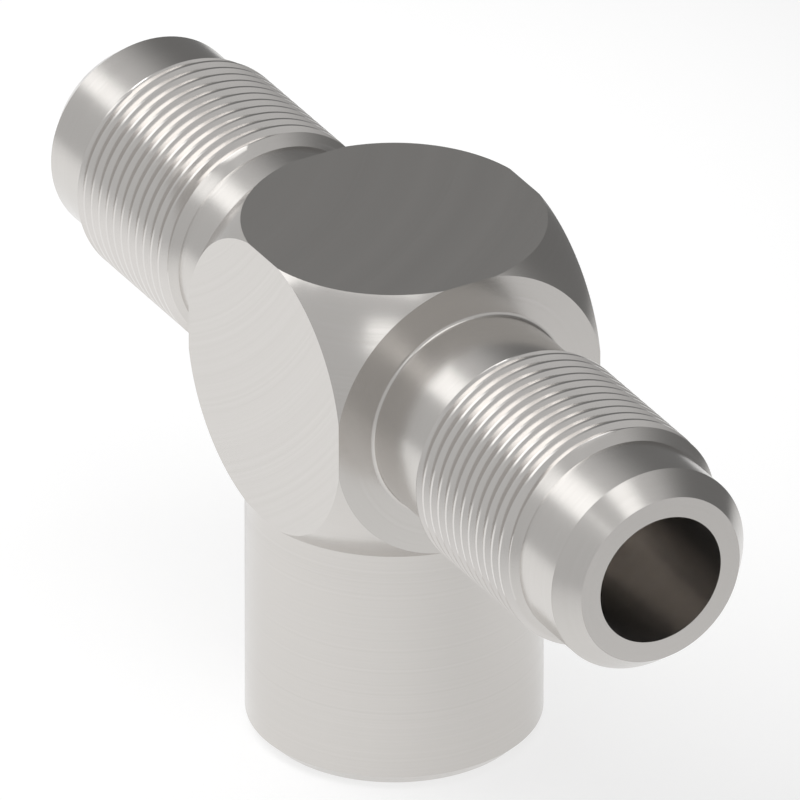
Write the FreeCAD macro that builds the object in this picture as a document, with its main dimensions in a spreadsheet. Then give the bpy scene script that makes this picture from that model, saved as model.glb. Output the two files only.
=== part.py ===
"""A 37 degree flare tee adapter, turned and milled from one piece of steel.

The tee stands on the face of its branch, with the origin at the centre of that face. Z runs up the
branch, and X runs along the two flared ends. The whole tee is one solid: a blank turned about the
branch with a ball-shaped top, four flats milled round it and one on top, an end turned on each side
along the run, a straight bore through the run and a pipe port bored up the branch to meet it.
All sizes are in millimetres and degrees.
"""

import FreeCAD, Part

import math
import os

import Sketcher

# Driving sizes

SIZES = [
    ("block_width", 33.2, "across each pair of opposite flats"),
    ("ball_diameter", 47.4, "of the ball that rounds the block's corners"),
    ("branch_length", 29.9, "from the branch face up to the block"),
    ("branch_diameter", 33.1, "outside of the branch"),
    ("branch_chamfer", 1.5, "at the branch face"),
    ("shoulder_height", 0.3, "of the break where the block overhangs the branch"),
    ("neck_diameter", 24.3, "of the relief between the block and the thread"),
    ("neck_length", 10.05, "from the block to the thread's run-out"),
    ("neck_fillet", 0.4, "where the neck meets the block"),
    ("thread_diameter", 26.99, "major, of the male thread"),
    ("thread_length", 19.05, "of the full thread, between its chamfers"),
    ("pilot_diameter", 24.3, "of the plain land ahead of the thread"),
    ("pilot_length", 6.85, "of that land"),
    ("flare_angle", 37.0, "from the run's axis to the seat cone"),
    ("nose_diameter", 20.0, "at the small end of the seat cone"),
    ("run_bore_diameter", 15.2, "straight through the run"),
    ("port_diameter", 23.4, "tap drill of the pipe thread in the branch"),
    ("port_depth", 20.0, "of that drilling, to the start of its point"),
    ("port_mouth_diameter", 27.2, "of the countersink at the branch face"),
    ("drill_point_angle", 118.0, "whole angle of the drill's point"),
    ("passage_diameter", 14.4, "of the way from the port to the run"),
]

# Places worked out from the sizes, as expressions

HALF_BLOCK = "Sizes.block_width / 2"
BALL_RADIUS = "Sizes.ball_diameter / 2"
FLAT_RADIUS = f"sqrt(({BALL_RADIUS})^2 - ({HALF_BLOCK})^2)"
BRANCH_RADIUS = "Sizes.branch_diameter / 2"
RUN_HEIGHT = f"Sizes.branch_length + {HALF_BLOCK}"
BLOCK_TOP = "Sizes.branch_length + Sizes.block_width"
SHOULDER_FOOT = "Sizes.branch_length - Sizes.shoulder_height"

NECK_RADIUS = "Sizes.neck_diameter / 2"
THREAD_RADIUS = "Sizes.thread_diameter / 2"
PILOT_RADIUS = "Sizes.pilot_diameter / 2"
NOSE_RADIUS = "Sizes.nose_diameter / 2"
NECK_END = f"{HALF_BLOCK} + Sizes.neck_length"
THREAD_START = f"{NECK_END} + {THREAD_RADIUS} - {NECK_RADIUS}"
THREAD_END = f"{THREAD_START} + Sizes.thread_length"
PILOT_START = f"{THREAD_END} + {THREAD_RADIUS} - {PILOT_RADIUS}"
PILOT_END = f"{PILOT_START} + Sizes.pilot_length"
NOSE_END = f"{PILOT_END} + ({PILOT_RADIUS} - {NOSE_RADIUS}) / tan(Sizes.flare_angle * 1 deg)"

PORT_RADIUS = "Sizes.port_diameter / 2"
MOUTH_RADIUS = "Sizes.port_mouth_diameter / 2"
PASSAGE_RADIUS = "Sizes.passage_diameter / 2"
MOUTH_DEPTH = f"{MOUTH_RADIUS} - {PORT_RADIUS}"
POINT_HALF_ANGLE = "Sizes.drill_point_angle / 2 * 1 deg"
POINT_END = f"Sizes.port_depth + ({PORT_RADIUS} - {PASSAGE_RADIUS}) / tan({POINT_HALF_ANGLE})"

# How far a cutter reaches past the metal that it takes off
CUTTER_MARGIN = 2.0


def make_sheet(doc):
    """Put the driving sizes in a sheet, one named cell each."""
    sheet = doc.addObject("Spreadsheet::Sheet", "Sizes")
    for row, (alias, value, meaning) in enumerate(SIZES, start=1):
        sheet.set(f"A{row}", alias)
        sheet.set(f"B{row}", str(value))
        sheet.set(f"C{row}", meaning)
        sheet.setAlias(f"B{row}", alias)
    doc.recompute()
    return sheet


def origin_feature(body, role):
    """The body's own origin plane or axis of that role."""
    return next(item for item in body.Origin.OriginFeatures if item.Role == role)


def add_sketch(body, name, role, lift=None, rise=None):
    """A sketch on one of the body's origin planes, moved by expressions out of it or up within it."""
    sketch = body.newObject("Sketcher::SketchObject", name)
    sketch.AttachmentSupport = [(origin_feature(body, role), "")]
    sketch.MapMode = "FlatFace"
    if lift:
        sketch.setExpression("AttachmentOffset.Base.z", lift)
    if rise:
        sketch.setExpression("AttachmentOffset.Base.y", rise)
    return sketch


def evaluate(sheet, expression):
    """The number that an expression on the sheet gives now, from which a sketch is first drawn."""
    value = sheet.evalExpression(expression)
    return float(getattr(value, "Value", value))


def place_point(sheet, sketch, geometry, end, across, up):
    """Hold a line's end at two expressions, measured from the sketch's origin."""
    for kind, expression, axis in (("DistanceX", across, -2), ("DistanceY", up, -1)):
        if expression == "0":
            sketch.addConstraint(Sketcher.Constraint("PointOnObject", geometry, end, axis))
        else:
            value = evaluate(sheet, expression)
            index = sketch.addConstraint(Sketcher.Constraint(kind, -1, 1, geometry, end, value))
            sketch.setExpression(f"Constraints[{index}]", expression)


def draw_profile(sheet, sketch, corners, arcs=None):
    """Draw a closed profile through the corners, given as pairs of expressions.

    arcs maps the number of a side to its radius and its centre, also as expressions. Every corner
    and every radius stays tied to the sheet.
    """
    arcs = arcs or {}
    points = [find_point(sheet, corner) for corner in corners]
    ends = []
    for side, start in enumerate(points):
        finish = points[(side + 1) % len(points)]
        if side in arcs:
            ends.append(draw_arc(sketch, start, finish, find_point(sheet, arcs[side][1])))
        else:
            sketch.addGeometry(Part.LineSegment(start, finish), False)
            ends.append((1, 2))
    for side, (_, last) in enumerate(ends):
        following = (side + 1) % len(ends)
        sketch.addConstraint(Sketcher.Constraint("Coincident", side, last, following, ends[following][0]))
    for side, (across, up) in enumerate(corners):
        place_point(sheet, sketch, side, ends[side][0], across, up)
    for side, (radius, _) in arcs.items():
        index = sketch.addConstraint(Sketcher.Constraint("Radius", side, evaluate(sheet, radius)))
        sketch.setExpression(f"Constraints[{index}]", radius)


def find_point(sheet, pair):
    """The point that a pair of expressions gives."""
    return FreeCAD.Vector(evaluate(sheet, pair[0]), evaluate(sheet, pair[1]), 0)


def draw_arc(sketch, start, finish, centre):
    """Draw the shorter arc between two points, and give the numbers of its first and last ends.

    A sketch keeps an arc turning to the left, so one that turns to the right is drawn backwards.
    """
    turns_left = (start - centre).cross(finish - centre).z > 0
    ordered = (start, finish) if turns_left else (finish, start)
    angles = [math.atan2(point.y - centre.y, point.x - centre.x) for point in ordered]
    circle = Part.Circle(centre, FreeCAD.Vector(0, 0, 1), centre.distanceToPoint(start))
    sketch.addGeometry(Part.ArcOfCircle(circle, *angles), False)
    return (1, 2) if turns_left else (2, 1)


def turn(body, kind, name, sketch, axis):
    """Revolve a profile a full turn about one of its sketch's axes, as added or removed metal."""
    feature = body.newObject(kind, name)
    feature.Profile = (sketch, [""])
    feature.ReferenceAxis = (sketch, [axis])
    feature.Angle = 360.0
    return feature


def turned_blank(sheet, body):
    """The branch, the shoulder above it and the ball, cut flat on top, turned in one go about Z."""
    sketch = add_sketch(body, "BlankProfile", "XZ_Plane")
    corners = [
        ("0", "0"),
        (f"{BRANCH_RADIUS} - Sizes.branch_chamfer", "0"),
        (BRANCH_RADIUS, "Sizes.branch_chamfer"),
        (BRANCH_RADIUS, SHOULDER_FOOT),
        (FLAT_RADIUS, "Sizes.branch_length"),
        (FLAT_RADIUS, BLOCK_TOP),
        ("0", BLOCK_TOP),
    ]
    ball_side = 4
    draw_profile(sheet, sketch, corners, {ball_side: (BALL_RADIUS, ("0", RUN_HEIGHT))})
    return turn(body, "PartDesign::Revolution", "TurnedBlank", sketch, "V_Axis")


def side_flats(sheet, body):
    """The four flats round the block, milled from its top down to the shoulder."""
    sketch = add_sketch(body, "FlatsOutline", "XY_Plane", lift=SHOULDER_FOOT)
    reach = f"{BALL_RADIUS} + {CUTTER_MARGIN}"
    for number, half in enumerate((HALF_BLOCK, reach)):
        draw_square(sheet, sketch, number * 4, half)
    feature = body.newObject("PartDesign::Pocket", "SideFlats")
    feature.Profile = (sketch, [""])
    feature.Type = "Length"
    feature.Reversed = True
    feature.setExpression("Length", f"{BLOCK_TOP} - ({SHOULDER_FOOT}) + {CUTTER_MARGIN}")
    return feature


def draw_square(sheet, sketch, first, half):
    """A square centred on the sketch's origin, whose four sides are numbered from first."""
    size = evaluate(sheet, half)
    points = [FreeCAD.Vector(x * size, y * size, 0) for x, y in ((1, 1), (-1, 1), (-1, -1), (1, -1))]
    for side, start in enumerate(points):
        sketch.addGeometry(Part.LineSegment(start, points[(side + 1) % 4]), False)
    for side in range(4):
        sketch.addConstraint(
            Sketcher.Constraint("Coincident", first + side, 2, first + (side + 1) % 4, 1)
        )
    for side, kind in enumerate(("Horizontal", "Vertical", "Horizontal", "Vertical")):
        sketch.addConstraint(Sketcher.Constraint(kind, first + side))
    sketch.addConstraint(Sketcher.Constraint("Symmetric", first, 1, first + 2, 1, -1, 1))
    for kind in ("DistanceX", "DistanceY"):
        index = sketch.addConstraint(Sketcher.Constraint(kind, -1, 1, first, 1, size))
        sketch.setExpression(f"Constraints[{index}]", half)


def run_end(sheet, body):
    """One flared end along the run: neck, thread with its chamfers, pilot land and seat cone."""
    sketch = add_sketch(body, "RunEndProfile", "XZ_Plane", rise=RUN_HEIGHT)
    foot_radius = f"{NECK_RADIUS} + Sizes.neck_fillet"
    fillet_end = f"{HALF_BLOCK} + Sizes.neck_fillet"
    corners = [
        ("0", "0"),
        (NOSE_END, "0"),
        (NOSE_END, NOSE_RADIUS),
        (PILOT_END, PILOT_RADIUS),
        (PILOT_START, PILOT_RADIUS),
        (THREAD_END, THREAD_RADIUS),
        (THREAD_START, THREAD_RADIUS),
        (NECK_END, NECK_RADIUS),
        (fillet_end, NECK_RADIUS),
        (HALF_BLOCK, foot_radius),
        ("0", foot_radius),
    ]
    fillet_side = 8
    draw_profile(sheet, sketch, corners, {fillet_side: ("Sizes.neck_fillet", (fillet_end, foot_radius))})
    return turn(body, "PartDesign::Revolution", "RunEnd", sketch, "H_Axis")


def opposite_end(body, end):
    """The same end again on the other side of the branch."""
    feature = body.newObject("PartDesign::Mirrored", "OppositeEnd")
    feature.Originals = [end]
    feature.MirrorPlane = (origin_feature(body, "YZ_Plane"), [""])
    body.Tip = feature
    return feature


def branch_port(sheet, body):
    """The pipe port: countersink, tap drilling with its point, and the way up to the run."""
    sketch = add_sketch(body, "PortProfile", "XZ_Plane")
    corners = [
        ("0", "0"),
        (MOUTH_RADIUS, "0"),
        (PORT_RADIUS, MOUTH_DEPTH),
        (PORT_RADIUS, "Sizes.port_depth"),
        (PASSAGE_RADIUS, POINT_END),
        (PASSAGE_RADIUS, RUN_HEIGHT),
        ("0", RUN_HEIGHT),
    ]
    draw_profile(sheet, sketch, corners)
    return turn(body, "PartDesign::Groove", "BranchPort", sketch, "V_Axis")


def run_bore(sheet, body):
    """The straight bore from one flared end to the other."""
    sketch = add_sketch(body, "RunBoreCircle", "YZ_Plane", rise=RUN_HEIGHT)
    diameter = evaluate(sheet, "Sizes.run_bore_diameter")
    circle = Part.Circle(FreeCAD.Vector(0, 0, 0), FreeCAD.Vector(0, 0, 1), diameter / 2)
    sketch.addGeometry(circle, False)
    sketch.addConstraint(Sketcher.Constraint("Coincident", 0, 3, -1, 1))
    index = sketch.addConstraint(Sketcher.Constraint("Diameter", 0, diameter))
    sketch.setExpression(f"Constraints[{index}]", "Sizes.run_bore_diameter")
    feature = body.newObject("PartDesign::Pocket", "RunBore")
    feature.Profile = (sketch, [""])
    feature.Type = "Length"
    feature.SideType = "Symmetric"
    feature.setExpression("Length", f"2 * ({NOSE_END}) + 2 * {CUTTER_MARGIN}")
    return feature


def make_tee(doc, sheet):
    """The whole tee as one body, each step checked to have added or removed metal."""
    body = doc.addObject("PartDesign::Body", "TeeBody")
    body.Label = "tee_body"
    volume = 0.0
    steps = [
        (lambda: turned_blank(sheet, body), 1),
        (lambda: side_flats(sheet, body), -1),
        (lambda: run_end(sheet, body), 1),
        (lambda: opposite_end(body, doc.getObject("RunEnd")), 1),
        (lambda: branch_port(sheet, body), -1),
        (lambda: run_bore(sheet, body), -1),
    ]
    for make_step, direction in steps:
        feature = make_step()
        doc.recompute()
        change = feature.Shape.Volume - volume
        if change * direction <= 0:
            raise RuntimeError(f"{feature.Name} changed the volume by {change:.3f} mm3")
        volume = feature.Shape.Volume
    return body


def check_document(doc):
    """Stop if any object of the document failed to recompute."""
    for item in doc.Objects:
        if "Invalid" in item.State or "Error" in item.State:
            raise RuntimeError(f"{item.Name} is {item.State}")
        if item.TypeId == "Sketcher::SketchObject" and item.solve() != 0:
            raise RuntimeError(f"{item.Name} does not solve")


def write_parts(bodies):
    """Write each sub-part's shape to a file that carries its label."""
    for body in bodies:
        if body.Shape.isNull() or not body.Shape.isValid() or len(body.Shape.Solids) != 1:
            raise RuntimeError(f"{body.Label} is not one valid solid")
    os.makedirs("parts", exist_ok=True)
    for body in bodies:
        body.Shape.exportStep(f"parts/{body.Label}.step")
        box = body.Shape.optimalBoundingBox()
        print(f"{body.Label}: {body.Shape.Volume:.1f} mm3, "
              f"{box.XLength:.2f} x {box.YLength:.2f} x {box.ZLength:.2f} mm")


def main():
    """Build the document, check it and write the part."""
    doc = FreeCAD.newDocument("FlareTee")
    sheet = make_sheet(doc)
    tee = make_tee(doc, sheet)
    doc.recompute()
    check_document(doc)
    write_parts([tee])


main()
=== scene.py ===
"""The looks of a 37 degree flare tee adapter, turned and milled from one piece of stainless steel.

The tee is one closed surface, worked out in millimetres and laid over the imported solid. It adds what
the solid leaves plain: a right-hand rolled thread between turned chamfers on each flared end, the
taper pipe thread tapped into the branch, and the marks that the tools leave on the steel. Z runs up
the branch from its face, and X runs along the two flared ends.
"""

import logging
import math
from dataclasses import dataclass, field
from enum import Enum

import bmesh
import bpy
import numpy as np
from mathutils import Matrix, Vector


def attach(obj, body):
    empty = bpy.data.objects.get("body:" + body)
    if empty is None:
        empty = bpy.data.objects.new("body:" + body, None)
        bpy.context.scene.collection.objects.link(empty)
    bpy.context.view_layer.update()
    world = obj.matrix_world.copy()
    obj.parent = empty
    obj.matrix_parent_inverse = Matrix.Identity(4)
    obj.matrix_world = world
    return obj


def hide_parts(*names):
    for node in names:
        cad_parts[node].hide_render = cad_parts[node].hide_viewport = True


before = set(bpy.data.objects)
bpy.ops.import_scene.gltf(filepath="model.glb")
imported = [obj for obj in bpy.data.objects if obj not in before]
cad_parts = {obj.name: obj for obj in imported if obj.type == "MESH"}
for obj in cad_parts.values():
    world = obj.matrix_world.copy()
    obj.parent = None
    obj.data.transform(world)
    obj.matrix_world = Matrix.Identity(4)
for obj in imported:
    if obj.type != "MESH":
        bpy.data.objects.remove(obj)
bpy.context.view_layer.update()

logging.basicConfig(level=logging.INFO, format="%(message)s")
LOG = logging.getLogger("flare_tee")

MM = 0.001
FULL_TURN = 2.0 * math.pi
QUARTER_TURN = FULL_TURN / 4
WHITE = (1.0, 1.0, 1.0, 1.0)

# A length in millimetres that counts as none
TINY = 0.001

# The turns that a thread has beyond each end of its stretch, where they are held back to that end
SPARE_TURNS = 2


class Finish(Enum):
    """Which finish a stretch of the surface has, as the number of its material."""

    TURNED_ON_RUN = 0
    TURNED_ON_BRANCH = 1
    MILLED = 2
    BORED = 3
    TAPPED = 4
    ROLLED = 5


# Meshes


@dataclass
class Skin:
    """One closed surface, gathered from grids of points that share their edges.

    Points that lie within merge_within millimetres become one, and shorter edges than drop_below
    go. An edge where the surface bends by more than sharp_angle degrees is shaded sharp.
    """

    name: str
    merge_within: float = TINY
    drop_below: float = TINY / 2
    sharp_angle: float = 28.0
    points: list[np.ndarray] = field(default_factory=list)
    quads: list[np.ndarray] = field(default_factory=list)
    finishes: list[np.ndarray] = field(default_factory=list)
    count: int = 0

    def add(self, grid: np.ndarray, finish: Finish | np.ndarray) -> None:
        """Add a grid, whose neighbouring rows and columns are joined by quads.

        Args:
            grid: points in millimetres, as rows by columns by three.
            finish: the finish of the whole grid, or the number of each quad's finish.
        """
        rows, columns = grid.shape[:2]
        index = self.count + np.arange(rows * columns).reshape(rows, columns)
        corners = (index[:-1, :-1], index[:-1, 1:], index[1:, 1:], index[1:, :-1])
        quads = np.stack(corners, axis=-1).reshape(-1, 4)
        numbers = finish.value if isinstance(finish, Finish) else finish.ravel()
        self.points.append(grid.reshape(-1, 3))
        self.quads.append(quads)
        self.finishes.append(np.full(len(quads), numbers, dtype=np.int32))
        self.count += rows * columns

    def build(self) -> bpy.types.Object:
        """Join the grids where they meet and put them in one mesh.

        Returns:
            The new object, at the origin, with its faces pointing outwards.
        """
        mesh = bpy.data.meshes.new(self.name)
        points = np.concatenate(self.points) * MM
        quads = np.concatenate(self.quads)
        mesh.vertices.add(len(points))
        mesh.vertices.foreach_set("co", points.ravel())
        mesh.loops.add(quads.size)
        mesh.loops.foreach_set("vertex_index", quads.ravel().astype(np.int32))
        mesh.polygons.add(len(quads))
        mesh.polygons.foreach_set("loop_start", np.arange(0, quads.size, 4, dtype=np.int32))
        mesh.polygons.foreach_set("material_index", np.concatenate(self.finishes))
        mesh.update(calc_edges=True)
        self.close(mesh)
        mesh.shade_smooth()
        mesh.set_sharp_from_angle(angle=math.radians(self.sharp_angle))
        piece = bpy.data.objects.new(self.name, mesh)
        bpy.context.scene.collection.objects.link(piece)
        return piece

    def close(self, mesh: bpy.types.Mesh) -> None:
        """Merge the points that grids share, drop what that leaves without area, and face outwards.

        Args:
            mesh: the mesh of all the grids, which is changed in place.
        """
        work = bmesh.new()
        work.from_mesh(mesh)
        bmesh.ops.remove_doubles(work, verts=work.verts, dist=self.merge_within * MM)
        bmesh.ops.dissolve_degenerate(work, edges=work.edges, dist=self.drop_below * MM)
        bmesh.ops.recalc_face_normals(work, faces=work.faces)
        open_edges = sum(1 for edge in work.edges if not edge.is_manifold)
        LOG.info("%s: %d faces, %d open edges", mesh.name, len(work.faces), open_edges)
        work.to_mesh(mesh)
        work.free()


def about_run(x: np.ndarray, radius: np.ndarray, angle: np.ndarray, height: float) -> np.ndarray:
    """Points at a place along the run, a distance from its axis and an angle from Y towards Z."""
    x, radius, angle = np.broadcast_arrays(x, radius, angle)
    return np.stack([x, radius * np.cos(angle), height + radius * np.sin(angle)], axis=-1)


def about_branch(z: np.ndarray, radius: np.ndarray, angle: np.ndarray) -> np.ndarray:
    """Points at a height, a distance from the branch's axis and an angle from X towards Y."""
    z, radius, angle = np.broadcast_arrays(z, radius, angle)
    return np.stack([radius * np.cos(angle), radius * np.sin(angle), z], axis=-1)


def half_turn(grid: np.ndarray) -> np.ndarray:
    """The same points turned half a turn about the branch's axis, which keeps a thread's hand."""
    return grid * np.array([-1.0, -1.0, 1.0])


def held(places: np.ndarray, start: float, end: float, snap: float = 0.04) -> np.ndarray:
    """The places held between two ends, where one closer to an end than snap lies on it."""
    places = np.where(places < start + snap, start, places)
    return np.where(places > end - snap, end, places)


def cycle(angles: np.ndarray) -> np.ndarray:
    """The angles with the first one again a full turn on, so that a grid closes on itself."""
    return np.append(angles, angles[0] + FULL_TURN)


# The tee's parts


@dataclass(frozen=True)
class Core:
    """What every part lines up with: the block's flats, the ball round them and the run's bore.

    Each flat has the same outline, a circle with four short straight sides. Every grid of the skin has
    its points at that outline's angles, so that neighbours share their edges.
    """

    block_width: float = 33.2
    ball_diameter: float = 47.4
    branch_length: float = 29.9
    bore_diameter: float = 15.2
    straight_steps: int = 12
    arc_steps: int = 32

    @property
    def half_width(self) -> float:
        """From the run's axis to each flat."""
        return self.block_width / 2

    @property
    def ball_radius(self) -> float:
        """From the block's centre to its rounded corners."""
        return self.ball_diameter / 2

    @property
    def run_height(self) -> float:
        """From the branch's face to the run's axis."""
        return self.branch_length + self.half_width

    @property
    def bore_radius(self) -> float:
        """From the run's axis to the bore's wall."""
        return self.bore_diameter / 2

    @property
    def circle_radius(self) -> float:
        """Where the ball's surface meets a flat."""
        return math.sqrt(self.ball_radius**2 - self.half_width**2)

    @property
    def straight_angle(self) -> float:
        """Half the angle that a straight side covers, seen from the flat's centre."""
        return math.acos(self.half_width / self.circle_radius)

    def angles(self) -> np.ndarray:
        """The angles of the outline's points, the same on every flat.

        Returns:
            The angles of one turn, starting half a turn back, without the end that closes it.
        """
        side = self.straight_angle
        arc_end = QUARTER_TURN - side
        quarter = np.concatenate([
            np.linspace(0.0, side, self.straight_steps // 2 + 1)[:-1],
            np.linspace(side, arc_end, self.arc_steps + 1)[:-1],
            np.linspace(arc_end, QUARTER_TURN, self.straight_steps // 2 + 1)[:-1],
        ])
        starts = np.arange(-2, 2) * QUARTER_TURN
        return (starts[:, None] + quarter[None, :]).ravel()

    def edge(self, angle: np.ndarray) -> np.ndarray:
        """From a flat's centre to its outline: the circle's radius, or less where a side cuts it."""
        side = self.half_width / np.maximum(np.abs(np.cos(angle)), np.abs(np.sin(angle)))
        return np.minimum(side, self.circle_radius)


@dataclass
class Block:
    """The block: a ball with flats on its top and on its four sides.

    A neck leaves each flat across the run at foot_radius. A ring of points a support further out
    keeps the shading of the flat clear of the neck's fillet.
    """

    core: Core
    foot_radius: float
    support: float = 0.04
    flat_rows: int = 3

    def add_to(self, skin: Skin) -> None:
        """Add the flats and the pieces of the ball between them.

        Args:
            skin: the surface that they become a part of.
        """
        half, height = self.core.half_width, self.core.run_height
        angles = cycle(self.core.angles())
        edge = self.core.edge(angles)
        to_edge = np.linspace(0.0, 1.0, self.flat_rows)[:, None] * edge
        skin.add(about_branch(height + half, to_edge, angles), Finish.MILLED)
        across = to_edge * np.cos(angles)
        up = height + to_edge * np.sin(angles)
        for side in (-half, half):
            skin.add(np.stack([across, np.full_like(across, side), up], axis=-1), Finish.MILLED)
        foot = np.full_like(edge, self.foot_radius)
        right = about_run(half, np.stack([foot, foot + self.support, edge]), angles, height)
        skin.add(right, Finish.TURNED_ON_RUN)
        skin.add(half_turn(right), Finish.TURNED_ON_RUN)
        corner = self.ball_corner()
        for signs in np.array(np.meshgrid([-1, 1], [-1, 1], [-1, 1])).reshape(3, -1).T:
            skin.add(corner * signs + np.array([0.0, 0.0, height]), Finish.TURNED_ON_BRANCH)

    def ball_corner(self) -> np.ndarray:
        """One of the eight pieces of the ball, with its centre at the origin.

        A row lies at the height of an outline's point, circle radius times the sine of its angle. Its
        radius is the ball's at that height, and it runs from one side's flat to the next.

        Returns:
            The piece's grid, on the side of +X, +Y and +Z.
        """
        core = self.core
        side = core.straight_angle
        steps = core.arc_steps + 1
        rise = core.circle_radius * np.sin(np.linspace(side, QUARTER_TURN - side, steps))
        radius = np.sqrt(core.ball_radius**2 - rise**2)
        first = np.arccos(np.clip(core.half_width / radius, -1.0, 1.0))
        share = np.linspace(0.0, 1.0, steps)
        angle = first[:, None] + share[None, :] * (QUARTER_TURN - 2.0 * first)[:, None]
        return about_branch(rise[:, None], radius[:, None], angle)


@dataclass
class MaleThread:
    """A right-hand thread of the 60 degree form, with flat crests and roots.

    A flank leans by flank_angle from square to the axis. One crest has its middle at first_crest.
    """

    diameter: float = 26.99
    pitch: float = 1.66
    first_crest: float = 28.84
    depth_in_pitches: float = 0.6134
    crest_in_pitches: float = 0.2
    flank_angle: float = 30.0
    flank_steps: int = 4

    @property
    def major_radius(self) -> float:
        """From the run's axis to the crests."""
        return self.diameter / 2

    def turn_profile(self) -> tuple[np.ndarray, np.ndarray]:
        """One turn: a crest, a flank down, the root and a flank up again.

        Returns:
            The places along the axis from the crest's middle, and the radius at each.
        """
        depth = self.depth_in_pitches * self.pitch
        flank = depth * math.tan(math.radians(self.flank_angle))
        crest = self.crest_in_pitches * self.pitch
        root = self.pitch - crest - 2.0 * flank
        down = np.linspace(0.0, 1.0, self.flank_steps + 1)
        along = np.concatenate([[0.0], crest + down * flank, crest + flank + root + down[:-1] * flank])
        drop = np.concatenate([[0.0], down, 1.0 - down[:-1]]) * depth
        return along - crest / 2, self.major_radius - drop

    def rows(self, start: float, end: float) -> tuple[np.ndarray, np.ndarray]:
        """All turns of a stretch, with spare ones beyond each end.

        Args:
            start: where the stretch begins, along the run.
            end: where it ends.

        Returns:
            The places along the run, and the radius at each.
        """
        along, radius = self.turn_profile()
        before = math.ceil((self.first_crest - start) / self.pitch) + SPARE_TURNS
        after = math.ceil((end - self.first_crest) / self.pitch) + SPARE_TURNS
        turns = np.arange(-before, after + 1)
        places = self.first_crest + turns[:, None] * self.pitch + along[None, :]
        return places.ravel(), np.tile(radius, len(turns))


@dataclass
class RunEnd:
    """A flared end: fillet, neck, thread between its chamfers, pilot land, seat cone and nose.

    The pilot land is as thick as the neck, and the thread's chamfers fall to both at 45 degrees. The
    seat cone leans by flare_angle from the axis.
    """

    core: Core
    thread: MaleThread
    neck_diameter: float = 24.3
    neck_length: float = 10.05
    neck_fillet: float = 0.4
    thread_length: float = 19.05
    pilot_length: float = 6.85
    flare_angle: float = 37.0
    nose_diameter: float = 20.0
    fillet_steps: int = 6
    support: float = 0.04

    @property
    def neck_radius(self) -> float:
        """From the run's axis to the neck, and to the pilot land."""
        return self.neck_diameter / 2

    @property
    def foot_radius(self) -> float:
        """Where the neck's fillet meets the block."""
        return self.neck_radius + self.neck_fillet

    @property
    def neck_end(self) -> float:
        """Where the neck ends and the thread's inner chamfer begins, along the run."""
        return self.core.half_width + self.neck_length

    @property
    def chamfer(self) -> float:
        """The length of each chamfer, which is also its depth."""
        return self.thread.major_radius - self.neck_radius

    @property
    def pilot_start(self) -> float:
        """Where the thread's outer chamfer ends and the pilot land begins, along the run."""
        return self.neck_end + self.thread_length + 2.0 * self.chamfer

    @property
    def pilot_end(self) -> float:
        """Where the pilot land ends and the seat cone begins, along the run."""
        return self.pilot_start + self.pilot_length

    @property
    def nose_end(self) -> float:
        """Where the seat cone ends in the flat nose, along the run."""
        drop = self.neck_radius - self.nose_diameter / 2
        return self.pilot_end + drop / math.tan(math.radians(self.flare_angle))

    def add_to(self, skin: Skin) -> None:
        """Add both ends. The second is the first turned round, so both threads are right-hand.

        Args:
            skin: the surface that they become a part of.
        """
        for grid, finish in ((self.neck(), Finish.TURNED_ON_RUN), self.threaded(),
                             (self.nose(), Finish.TURNED_ON_RUN)):
            skin.add(grid, finish)
            skin.add(half_turn(grid), finish)

    def lathe(self, places: np.ndarray, radii: np.ndarray) -> np.ndarray:
        """A profile carried a full turn round the run's axis."""
        angles = cycle(self.core.angles())
        return about_run(places[:, None], radii[:, None], angles[None, :], self.core.run_height)

    def neck(self) -> np.ndarray:
        """The neck, from the block's face round a quarter circle and along to the thread.

        Returns:
            The neck's grid, with a row a support past the fillet that keeps its shading tight.
        """
        turn = np.linspace(0.0, QUARTER_TURN, self.fillet_steps + 1)
        places = self.core.half_width + self.neck_fillet * (1.0 - np.cos(turn))
        radii = self.neck_radius + self.neck_fillet * (1.0 - np.sin(turn))
        straight = np.array([places[-1] + self.support, self.neck_end])
        return self.lathe(np.append(places, straight), np.append(radii, [self.neck_radius] * 2))

    def threaded(self) -> tuple[np.ndarray, np.ndarray]:
        """The thread, rolled into the blank between the neck and the pilot land.

        A row's place moves one pitch along the axis in a full turn, held between the two ends. Its
        radius is the thread's, or the blank's where the chamfers leave less metal.

        Returns:
            The grid, and the number of each quad's finish: turned on the chamfers, and else rolled.
        """
        places, radii = self.thread.rows(self.neck_end, self.pilot_start)
        angles = cycle(self.core.angles())
        lead = self.thread.pitch * angles / FULL_TURN
        x = held(places[:, None] + lead[None, :], self.neck_end, self.pilot_start)
        full = self.thread.major_radius
        inner, outer = self.neck_end + self.chamfer, self.pilot_start - self.chamfer
        blank = np.interp(x, [self.neck_end, inner, outer, self.pilot_start],
                          [self.neck_radius, full, full, self.neck_radius])
        above = radii[:, None] - blank
        above = np.stack([above[:-1, :-1], above[:-1, 1:], above[1:, 1:], above[1:, :-1]])
        chamfered = (above.min(axis=0) > -TINY) & (above.max(axis=0) > TINY)
        finishes = np.where(chamfered, Finish.TURNED_ON_RUN.value, Finish.ROLLED.value)
        grid = about_run(x, np.minimum(blank, radii[:, None]), angles[None, :], self.core.run_height)
        return grid, finishes

    def nose(self) -> np.ndarray:
        """The pilot land, the seat cone and the flat nose, in to the bore.

        Returns:
            The grid of all three.
        """
        places = np.array([self.pilot_start, self.pilot_end, self.nose_end, self.nose_end])
        radii = [self.neck_radius, self.neck_radius, self.nose_diameter / 2, self.core.bore_radius]
        return self.lathe(places, np.array(radii))


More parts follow.
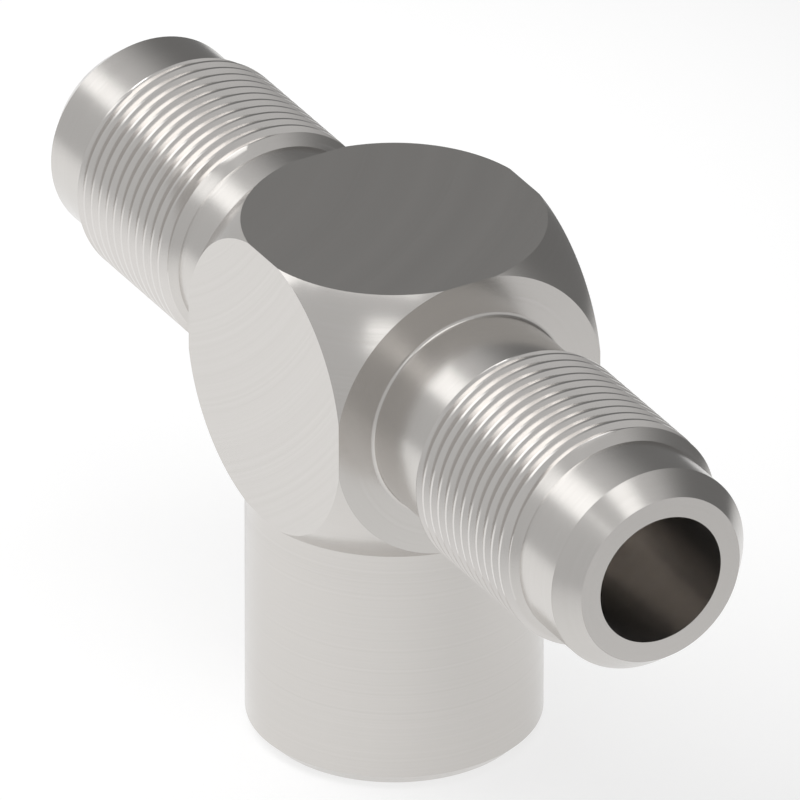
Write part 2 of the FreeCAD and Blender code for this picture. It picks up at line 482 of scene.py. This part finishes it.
@dataclass
class PipeThread:
    """A right-hand taper pipe thread, cut outwards into the wall of the branch's drilling.

    Its grooves have their full depth up to full_depth, and the tap's lead takes them down to nothing
    at run_out. A flank leans by flank_angle from the axis. From its middle a groove reaches at least
    least_flank past half its root, and at most widest pitches.
    """

    pitch: float = 25.4 / 14
    mouth_major_radius: float = 13.284
    taper: float = 1.0 / 32
    flank_angle: float = 60.0
    root_width: float = 0.08
    full_depth: float = 13.9
    run_out: float = 17.6
    run_out_radius: float = 11.6
    flank_steps: int = 3
    least_flank: float = 0.02
    widest: float = 0.48

    def major_radius(self, z: np.ndarray) -> np.ndarray:
        """The groove's bottom: a 1 in 16 taper, then the tap's lead down to nothing.

        Args:
            z: heights over the branch's face.

        Returns:
            The radius at each height.
        """
        tapered = self.mouth_major_radius - self.taper * z
        at_depth = self.mouth_major_radius - self.taper * self.full_depth
        lead = np.interp(z, [self.full_depth, self.run_out], [at_depth, self.run_out_radius])
        return np.where(z < self.full_depth, tapered, lead)


@dataclass
class Branch:
    """The branch: its outside up to the shoulder, the pipe port inside it and the bore above.

    The bore reaches bore_reach along the run to each side. The point angle is the whole angle of the
    drill's point, and the shoulder is the height of the hollow under the block.
    """

    core: Core
    thread: PipeThread
    bore_reach: float
    diameter: float = 33.1
    chamfer: float = 1.5
    shoulder: float = 0.3
    port_diameter: float = 23.4
    mouth_diameter: float = 27.2
    port_depth: float = 20.0
    point_angle: float = 118.0
    passage_diameter: float = 14.4
    shoulder_steps: int = 5
    bore_rows: int = 15

    @property
    def radius(self) -> float:
        """From the branch's axis to its outside."""
        return self.diameter / 2

    @property
    def port_radius(self) -> float:
        """From the branch's axis to the wall of the drilling."""
        return self.port_diameter / 2

    @property
    def mouth_radius(self) -> float:
        """From the branch's axis to the countersink's edge in the face."""
        return self.mouth_diameter / 2

    @property
    def passage_radius(self) -> float:
        """From the branch's axis to the wall of the way up to the run."""
        return self.passage_diameter / 2

    @property
    def point_end(self) -> float:
        """The height where the drill's point runs into the passage."""
        slope = math.tan(math.radians(self.point_angle / 2))
        return self.port_depth + (self.port_radius - self.passage_radius) / slope

    def add_to(self, skin: Skin) -> None:
        """Add the outside, the port, the passage and the bore that it runs into.

        Args:
            skin: the surface that they become a part of.
        """
        skin.add(self.outside(), Finish.TURNED_ON_BRANCH)
        skin.add(self.threaded(), Finish.TAPPED)
        skin.add(self.passage(), Finish.TAPPED)
        bore = self.half_bore()
        skin.add(bore, Finish.BORED)
        skin.add(half_turn(bore), Finish.BORED)

    def outside(self) -> np.ndarray:
        """From the port's mouth across the face and up to the block's lower edge.

        The shoulder is a hollow quarter round, which a flat cuts where the flat lies nearer to the axis.
        The row before the last follows that cut.

        Returns:
            The grid of the face, the chamfer, the branch's side and the shoulder.
        """
        angles = cycle(self.core.angles())
        edge = self.core.edge(angles)
        length = self.core.branch_length
        width = self.core.circle_radius - self.radius
        turn_to_edge = np.arccos(1.0 - (edge - self.radius) / width)
        turn = np.linspace(0.0, 1.0, self.shoulder_steps + 1)[:, None] * turn_to_edge
        level = np.ones_like(angles)
        z = np.vstack([
            0.0 * level, 0.0 * level, self.chamfer * level,
            length - self.shoulder * (1.0 - np.sin(turn)), length * level,
        ])
        radius = np.vstack([
            self.mouth_radius * level, (self.radius - self.chamfer) * level, self.radius * level,
            self.radius + width * (1.0 - np.cos(turn)), edge,
        ])
        return about_branch(z, radius, angles[None, :])

    def wall(self, z: np.ndarray) -> np.ndarray:
        """The port's radius before it is threaded: the countersink's, then the drilling's."""
        return np.maximum(self.mouth_radius - z, self.port_radius)

    def threaded(self) -> np.ndarray:
        """The countersink and the threaded wall of the port, up to the end of the drilling.

        A groove's middle climbs one pitch in a full turn. Its rows stand at set shares of the half
        width that it has in the wall there, and the radius falls from the groove's bottom along its
        flanks until it meets the wall.

        Returns:
            The grid of the wall with its grooves.
        """
        thread = self.thread
        angles = cycle(self.core.angles())
        slope = math.tan(math.radians(thread.flank_angle))
        half_root = thread.root_width / 2
        turns = np.arange(-SPARE_TURNS, math.ceil(self.port_depth / thread.pitch) + SPARE_TURNS)
        middle = turns[:, None, None] * thread.pitch + (thread.pitch * angles / FULL_TURN)[None, None, :]
        cut = thread.major_radius(middle) - self.wall(middle)
        half = np.clip(half_root + cut / slope, half_root + thread.least_flank,
                       thread.widest * thread.pitch)
        flank = np.linspace(1.0, 0.0, thread.flank_steps, endpoint=False)
        shares = np.concatenate([-flank, flank[::-1]])
        root = np.where(shares < 0, -1.0, 1.0)[None, :, None] * half_root
        offset = root + shares[None, :, None] * (half - half_root)
        z = middle + offset
        groove = thread.major_radius(z) - slope * np.maximum(np.abs(offset) - half_root, 0.0)
        z = held(z, 0.0, self.port_depth).reshape(-1, len(angles))
        groove = groove.reshape(-1, len(angles))
        radius = np.maximum(self.wall(z), np.where((z > 0) & (z < self.port_depth), groove, 0.0))
        return about_branch(z, radius, angles[None, :])

    def passage(self) -> np.ndarray:
        """The drill's point and the passage, up to where it breaks into the run's bore.

        The top's height is the run's, less the root of the bore radius squared minus the place across
        the run squared.

        Returns:
            The grid of both.
        """
        angles = cycle(self.core.angles())
        across = self.passage_radius * np.sin(angles)
        top = self.core.run_height - np.sqrt(self.core.bore_radius**2 - across**2)
        level = np.ones_like(angles)
        z = np.stack([self.port_depth * level, self.point_end * level, top])
        radius = np.stack([self.port_radius * level, self.passage_radius * level,
                           self.passage_radius * level])
        return about_branch(z, radius, angles[None, :])

    def half_bore(self) -> np.ndarray:
        """The bore's wall on the side of +X, from the passage or the middle out to the nose.

        Below, the inner edge follows the passage: across is the passage radius times the sine of the
        passage's angle, and along is that radius times its cosine. Above, the inner edge lies at the
        middle. The columns turn from the edge's angles to the nose's in the first half of the way.

        Returns:
            The grid of that half of the bore.
        """
        bore_radius = self.core.bore_radius
        outer = cycle(self.core.angles())
        quarter = len(outer) // 4
        passage = outer[quarter:3 * quarter + 1]
        lower = np.arcsin(self.passage_radius * np.sin(passage) / bore_radius) - QUARTER_TURN
        upper = np.linspace(lower[-1], lower[0] + FULL_TURN, 2 * quarter + 1)
        inner = np.concatenate([lower, upper[1:]])
        start = np.concatenate([self.passage_radius * np.cos(passage), np.zeros(2 * quarter)])
        way = np.linspace(0.0, 1.0, self.bore_rows)[:, None]
        angle = inner + (outer - inner) * np.clip(way * 2.0, 0.0, 1.0)
        along = start + (self.bore_reach - start) * way
        return about_run(along, bore_radius, angle, self.core.run_height)

    def true_bore(self, mesh: bpy.types.Mesh) -> None:
        """Give the bore's wall a true cylinder's normals, as light meets it many times on its way.

        A normal is the way from the wall to the run's axis. A normal of nought leaves a corner as it is.

        Args:
            mesh: the finished mesh of the whole tee, which is changed in place.
        """
        corners = np.empty(len(mesh.loops), dtype=np.int32)
        mesh.loops.foreach_get("vertex_index", corners)
        sides = np.empty(len(mesh.polygons), dtype=np.int32)
        mesh.polygons.foreach_get("loop_total", sides)
        finishes = np.empty(len(mesh.polygons), dtype=np.int32)
        mesh.polygons.foreach_get("material_index", finishes)
        places = np.empty(3 * len(mesh.vertices))
        mesh.vertices.foreach_get("co", places)
        axis = np.array([0.0, 0.0, self.core.run_height * MM])
        inwards = (axis - places.reshape(-1, 3)) * np.array([0.0, 1.0, 1.0])
        normals = inwards[corners]
        normals /= np.maximum(np.linalg.norm(normals, axis=1, keepdims=True), TINY * MM)
        normals[np.repeat(finishes != Finish.BORED.value, sides)] = 0.0
        mesh.normals_split_custom_set(normals)


# Finishes


def linear_colour(code: str) -> tuple[float, float, float, float]:
    """The linear colour of an sRGB hex code.

    Args:
        code: red, green and blue as six digits, such as "C8C6C2".

    Returns:
        Linear red, green and blue, and an alpha of 1.
    """
    values = [int(code[place:place + 2], 16) / 255.0 for place in (0, 2, 4)]
    linear = [v / 12.92 if v <= 0.04045 else ((v + 0.055) / 1.055) ** 2.4 for v in values]
    return (*linear, 1.0)


def add_node(tree: bpy.types.NodeTree, kind: str, settings: dict | None = None,
             inputs: dict | None = None) -> bpy.types.Node:
    """Add a node, with its settings and with a value or a link for each named input.

    Args:
        tree: the node tree that the node goes into.
        kind: the node's type.
        settings: its properties.
        inputs: for each input's name or number, a value or another node's output.

    Returns:
        The new node.
    """
    node = tree.nodes.new(kind)
    for name, value in (settings or {}).items():
        setattr(node, name, value)
    for name, value in (inputs or {}).items():
        if isinstance(value, bpy.types.NodeSocket):
            tree.links.new(value, node.inputs[name])
        else:
            node.inputs[name].default_value = value
    return node


class ToolPath(Enum):
    """The way that the tool went over the surface."""

    ROUND_THE_RUN = "rings round the run"
    ROUND_THE_BRANCH = "rings round the branch"
    ARCS = "wide arcs of a face mill"


@dataclass(frozen=True)
class CutSteel:
    """Bare stainless steel, left as the tool made it.

    To the eye it is a pale, faintly warm metal. Each pass of the tool leaves fine lines side by side,
    which draw its reflections out across them and give it a satin sheen.

    Rings stand where the place along the axis plus outward_share of the distance from it stays the
    same, so that a cylinder, a cone and a face all have them. The sum of the two noises mostly lies
    in noise_range, and over it the roughness goes roughness_spread to each side of its own value.
    """

    name: str
    path: ToolPath
    roughness: float
    line_spacing: float
    line_depth: float
    colour: str = "D4D1CE"
    line_colour: str = "CFCCC8"
    roughness_spread: float = 0.03
    noise_range: tuple[float, float] = (0.6, 1.4)
    bands_per_mm: float = 0.35
    outward_share: float = 0.73
    mill_centre: tuple[float, float, float] = (-46.0, -38.0, 99.0)

    def way_across(self, tree: bpy.types.NodeTree, run_height: float) -> bpy.types.NodeSocket:
        """The distance across the lines, which all lie where it stays the same.

        For rings it is the place along the axis plus a share of the distance from it. For a face
        mill's arcs it is the distance from a far point, the middle of the mill's path.

        Args:
            tree: the material's node tree.
            run_height: from the branch's face to the run's axis.

        Returns:
            The output that gives the distance in millimetres.
        """
        centre = {
            ToolPath.ROUND_THE_RUN: (0.0, 0.0, run_height),
            ToolPath.ROUND_THE_BRANCH: (0.0, 0.0, 0.0),
            ToolPath.ARCS: self.mill_centre,
        }[self.path]
        place = add_node(tree, "ShaderNodeTexCoord")
        away = add_node(tree, "ShaderNodeVectorMath", {"operation": "MULTIPLY_ADD"}, {
            0: place.outputs["Object"], 1: (1.0 / MM,) * 3, 2: tuple(-value for value in centre),
        }).outputs["Vector"]
        if self.path is ToolPath.ARCS:
            far = add_node(tree, "ShaderNodeVectorMath", {"operation": "LENGTH"}, {0: away})
            return far.outputs["Value"]
        axis = (1.0, 0.0, 0.0) if self.path is ToolPath.ROUND_THE_RUN else (0.0, 0.0, 1.0)
        along = add_node(tree, "ShaderNodeVectorMath", {"operation": "DOT_PRODUCT"}, {0: away, 1: axis})
        outwards = add_node(tree, "ShaderNodeVectorMath", {"operation": "MULTIPLY"}, {
            0: away, 1: tuple(1.0 - value for value in axis),
        })
        radius = add_node(tree, "ShaderNodeVectorMath", {"operation": "LENGTH"}, {0: outwards.outputs[0]})
        return add_node(tree, "ShaderNodeMath", {"operation": "MULTIPLY_ADD"}, {
            0: radius.outputs["Value"], 1: self.outward_share, 2: along.outputs["Value"],
        }).outputs[0]

    def material(self, run_height: float) -> bpy.types.Material:
        """Make the material.

        The lines are noise along one way, about one for each feed of the tool. A slower noise makes
        bands of a few millimetres, as the tool's edge wears and the chips rub. The lines touch the
        colour and the bump, and both noises touch the roughness.

        Args:
            run_height: from the branch's face to the run's axis.

        Returns:
            The new material.
        """
        material = bpy.data.materials.new(self.name)
        material.use_nodes = True
        tree = material.node_tree
        tree.nodes.clear()
        across = self.way_across(tree, run_height)
        lines = add_node(tree, "ShaderNodeTexNoise", {"noise_dimensions": "1D"}, {
            "W": across, "Scale": 1.0 / self.line_spacing, "Detail": 2.0, "Roughness": 0.6,
        })
        bands = add_node(tree, "ShaderNodeTexNoise", {"noise_dimensions": "1D"}, {
            "W": across, "Scale": self.bands_per_mm, "Detail": 1.0, "Roughness": 0.5,
        })
        both = add_node(tree, "ShaderNodeMath", {"operation": "ADD"}, {
            0: lines.outputs[0], 1: bands.outputs[0],
        })
        rough = add_node(tree, "ShaderNodeMapRange", inputs={
            0: both.outputs[0], 1: self.noise_range[0], 2: self.noise_range[1],
            3: self.roughness - self.roughness_spread, 4: self.roughness + self.roughness_spread,
        })
        tone = add_node(tree, "ShaderNodeMix", {"data_type": "RGBA"}, {
            0: lines.outputs[0], 6: linear_colour(self.colour), 7: linear_colour(self.line_colour),
        })
        bump = add_node(tree, "ShaderNodeBump", inputs={
            "Height": lines.outputs[0], "Strength": 1.0, "Distance": self.line_depth * MM,
        })
        shader = add_node(tree, "ShaderNodeBsdfPrincipled", inputs={
            "Base Color": tone.outputs[2],
            "Metallic": 1.0,
            "Roughness": rough.outputs[0],
            "Normal": bump.outputs[0],
        })
        add_node(tree, "ShaderNodeOutputMaterial", inputs={"Surface": shader.outputs[0]})
        return material


# The lathe's feed leaves a line each 0.1 mm, drawn each 0.3 mm, as the render has 9 pixels to the
# millimetre. To the eye a turned surface is satin, with rings. The face mill's teeth leave wider lines,
# so a flat has broad arcs. The reamer leaves the bore nearly smooth; the bore's paler colour is painted
# light, which brightens the deep inside of the bore. The drill and the tap tear the steel a little, so
# the port is duller. Rolls press the male thread and burnish it smoother; the thread's paler colour is
# a painted highlight, which brightens its streaks.
FINISHES = {
    Finish.TURNED_ON_RUN: CutSteel(
        "steel turned on the run", ToolPath.ROUND_THE_RUN,
        roughness=0.22, line_spacing=0.3, line_depth=0.0008,
    ),
    Finish.TURNED_ON_BRANCH: CutSteel(
        "steel turned on the branch", ToolPath.ROUND_THE_BRANCH,
        roughness=0.22, line_spacing=0.3, line_depth=0.0008,
    ),
    Finish.MILLED: CutSteel(
        "steel faced with a mill", ToolPath.ARCS,
        roughness=0.22, line_spacing=0.5, line_depth=0.0008,
    ),
    Finish.BORED: CutSteel(
        "steel reamed along the run with painted light", ToolPath.ROUND_THE_RUN,
        # The paler colour is painted light: it brightens the bore's deep inside, which the many bounces
        # leave dim.
        roughness=0.22, line_spacing=0.3, line_depth=0.0001, colour="EDEAE7", line_colour="EBE8E5",
    ),
    Finish.TAPPED: CutSteel(
        "steel drilled and tapped", ToolPath.ROUND_THE_BRANCH,
        roughness=0.30, line_spacing=0.4, line_depth=0.002,
    ),
    Finish.ROLLED: CutSteel(
        "steel rolled to a thread with painted highlight", ToolPath.ROUND_THE_RUN,
        # The paler colour is a painted highlight that brightens the thread's streaks; the low roughness
        # is the real burnish.
        roughness=0.16, line_spacing=0.3, line_depth=0.0002, colour="DBD8D5", line_colour="D7D4D1",
    ),
}


# Studio


def direction(azimuth: float, elevation: float) -> Vector:
    """The unit vector at an azimuth from X towards Y and an elevation above the floor, in degrees."""
    across, up = math.radians(azimuth), math.radians(elevation)
    return Vector((math.cos(across) * math.cos(up), math.sin(across) * math.cos(up), math.sin(up)))


@dataclass(frozen=True)
class SoftBox:
    """A soft light that faces the tee.

    Its place, and its width and height as seen from the tee, are in degrees. Its distance is in
    millimetres.
    """

    name: str
    azimuth: float
    elevation: float
    width: float
    height: float
    radiance: float
    distance: float = 1200.0

    def place(self, target: Vector) -> None:
        """Set the light at its distance from the target, facing it.

        Its power is pi times its area times its radiance.

        Args:
            target: the point that it faces, in metres.
        """
        distance = self.distance * MM
        data = bpy.data.lights.new(self.name, "AREA")
        data.shape = "RECTANGLE"
        data.size = 2.0 * distance * math.tan(math.radians(self.width) / 2)
        data.size_y = 2.0 * distance * math.tan(math.radians(self.height) / 2)
        data.energy = math.pi * data.size * data.size_y * self.radiance
        light = bpy.data.objects.new(self.name, data)
        towards = direction(self.azimuth, self.elevation)
        light.location = target + towards * distance
        light.rotation_mode = "QUATERNION"
        light.rotation_quaternion = towards.to_track_quat("Z", "Y")
        light.visible_camera = False
        bpy.context.scene.collection.objects.link(light)


@dataclass
class Studio:
    """A pale floor, soft light from all round and a camera at the picture's angle.

    Lengths are in millimetres and angles in degrees. The room is darkest at the dark azimuth and
    elevation. It is as dark up to dark_core from there, and as light as elsewhere past dark_edge.
    Light is followed through glossy_bounces on metal, which the long bore needs.
    """

    core: Core
    camera_azimuth: float = -30.0
    camera_elevation: float = 30.0
    lens: float = 1650.0
    sensor: float = 36.0
    picture_width: float = 88.13
    aim: tuple[float, float, float] = (2.735, -0.837, 41.685)
    clip_start: float = 500.0
    clip_end: float = 20000.0
    glossy_bounces: int = 6
    wall_level: float = 0.61
    dark_level: float = 0.19
    dark_azimuth: float = 114.0
    dark_elevation: float = 13.0
    dark_edge: float = 66.0
    dark_core: float = 26.0
    floor_reach: float = 400.0
    floor_level: float = -0.02
    floor_middle: tuple[float, float] = (-85.0, -5.0)
    floor_inner: float = 70.0
    floor_outer: float = 290.0
    floor_glow: float = 0.67
    floor_colour: str = "ADADAD"
    lights: tuple[SoftBox, ...] = (
        SoftBox("key light", -139.0, 47.5, 38.0, 41.0, 0.97),
        SoftBox("high light", -126.0, 65.0, 34.0, 34.0, 0.75),
        SoftBox("front light", -37.0, 36.0, 18.0, 18.0, 0.85),
        SoftBox("overhead light", -45.0, 83.0, 43.0, 43.0, 0.89),
        SoftBox("back light", 106.0, 69.0, 9.0, 14.0, 1.3),
    )

    def build(self) -> None:
        """Make the camera, the lights, the world and the floor."""
        self.camera()
        middle = Vector((0.0, 0.0, self.core.run_height)) * MM
        for light in self.lights:
            light.place(middle)
        self.world()
        self.floor()
        bpy.context.scene.cycles.glossy_bounces = self.glossy_bounces

    def camera(self) -> None:
        """Set the camera far off with a long lens, so that what is parallel stays nearly so.

        Its distance is lens over sensor times the width that the picture shows at the aim.
        """
        back = direction(self.camera_azimuth, self.camera_elevation)
        data = bpy.data.cameras.new("camera")
        data.lens = self.lens
        data.sensor_width = self.sensor
        data.clip_start = self.clip_start * MM
        data.clip_end = self.clip_end * MM
        camera = bpy.data.objects.new("camera", data)
        camera.location = (Vector(self.aim) + back * self.lens / self.sensor * self.picture_width) * MM
        camera.rotation_mode = "QUATERNION"
        camera.rotation_quaternion = back.to_track_quat("Z", "Y")
        bpy.context.scene.collection.objects.link(camera)
        bpy.context.scene.camera = camera

    def world(self) -> None:
        """The room: grey all round, and darker on the far right."""
        world = bpy.data.worlds.new("studio")
        world.use_nodes = True
        tree = world.node_tree
        tree.nodes.clear()
        place = add_node(tree, "ShaderNodeTexCoord")
        towards = add_node(tree, "ShaderNodeVectorMath", {"operation": "DOT_PRODUCT"}, {
            0: place.outputs["Generated"],
            1: direction(self.dark_azimuth, self.dark_elevation),
        })
        shade = add_node(tree, "ShaderNodeMapRange", {"interpolation_type": "SMOOTHSTEP"}, {
            0: towards.outputs["Value"],
            1: math.cos(math.radians(self.dark_edge)),
            2: math.cos(math.radians(self.dark_core)),
            3: self.wall_level,
            4: self.dark_level,
        })
        background = add_node(tree, "ShaderNodeBackground", inputs={
            "Color": WHITE, "Strength": shade.outputs[0],
        })
        add_node(tree, "ShaderNodeOutputWorld", inputs={"Surface": background.outputs[0]})
        bpy.context.scene.world = world

    def floor(self) -> None:
        """Lay a square of white paper just under the branch's face."""
        reach, level = self.floor_reach * MM, self.floor_level * MM
        corners = [(-reach, -reach, level), (reach, -reach, level), (reach, reach, level),
                   (-reach, reach, level)]
        mesh = bpy.data.meshes.new("studio_floor")
        mesh.from_pydata(corners, [], [(0, 1, 2, 3)])
        mesh.materials.append(self.paper())
        floor = bpy.data.objects.new("studio_floor", mesh)
        bpy.context.scene.collection.objects.link(floor)

    def paper(self) -> bpy.types.Material:
        """White paper that fades into the room a hand's width away, and is see-through from below.

        It glows where the camera sees it, straight or in metal or through glass, so that it is as
        pale as the picture's background. The fade rises smoothly with the distance from its middle.

        Returns:
            The new material.
        """
        material = bpy.data.materials.new("white paper")
        material.use_nodes = True
        tree = material.node_tree
        tree.nodes.clear()
        path = add_node(tree, "ShaderNodeLightPath")
        seen = add_node(tree, "ShaderNodeMath", {"operation": "ADD"}, {
            0: path.outputs["Is Camera Ray"], 1: path.outputs["Is Glossy Ray"],
        })
        seen = add_node(tree, "ShaderNodeMath", {"operation": "ADD", "use_clamp": True}, {
            0: seen.outputs[0], 1: path.outputs["Is Transmission Ray"],
        })
        glow = add_node(tree, "ShaderNodeMath", {"operation": "MULTIPLY"}, {
            0: seen.outputs[0], 1: self.floor_glow,
        })
        matt = add_node(tree, "ShaderNodeBsdfDiffuse", inputs={"Color": linear_colour(self.floor_colour)})
        emission = add_node(tree, "ShaderNodeEmission", inputs={
            "Color": WHITE, "Strength": glow.outputs[0],
        })
        both = add_node(tree, "ShaderNodeAddShader", inputs={0: matt.outputs[0], 1: emission.outputs[0]})
        place = add_node(tree, "ShaderNodeTexCoord")
        away = add_node(tree, "ShaderNodeVectorMath", {"operation": "DISTANCE"}, {
            0: place.outputs["Object"], 1: Vector((*self.floor_middle, self.floor_level)) * MM,
        })
        fade = add_node(tree, "ShaderNodeMapRange", {"interpolation_type": "SMOOTHSTEP"}, {
            0: away.outputs["Value"], 1: self.floor_inner * MM, 2: self.floor_outer * MM, 3: 0.0, 4: 1.0,
        })
        side = add_node(tree, "ShaderNodeNewGeometry")
        gone = add_node(tree, "ShaderNodeMath", {"operation": "MAXIMUM"}, {
            0: fade.outputs[0], 1: side.outputs["Backfacing"],
        })
        clear = add_node(tree, "ShaderNodeBsdfTransparent")
        surface = add_node(tree, "ShaderNodeMixShader", inputs={
            0: gone.outputs[0], 1: both.outputs[0], 2: clear.outputs[0],
        })
        add_node(tree, "ShaderNodeOutputMaterial", inputs={"Surface": surface.outputs[0]})
        return material


def main() -> None:
    """Build the tee, dress it and light it."""
    core = Core()
    run_end = RunEnd(core, MaleThread())
    branch = Branch(core, PipeThread(), run_end.nose_end)
    skin = Skin("threaded_tee")
    for part in (Block(core, run_end.foot_radius), run_end, branch):
        before = skin.count
        part.add_to(skin)
        LOG.info("%s: %d points", type(part).__name__, skin.count - before)
    tee = skin.build()
    branch.true_bore(tee.data)
    for finish in Finish:
        tee.data.materials.append(FINISHES[finish].material(core.run_height))
    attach(tee, "root")
    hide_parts("tee_body")
    Studio(core).build()
    bpy.context.scene.view_settings.view_transform = "Standard"


if __name__ == "__main__":
    main()
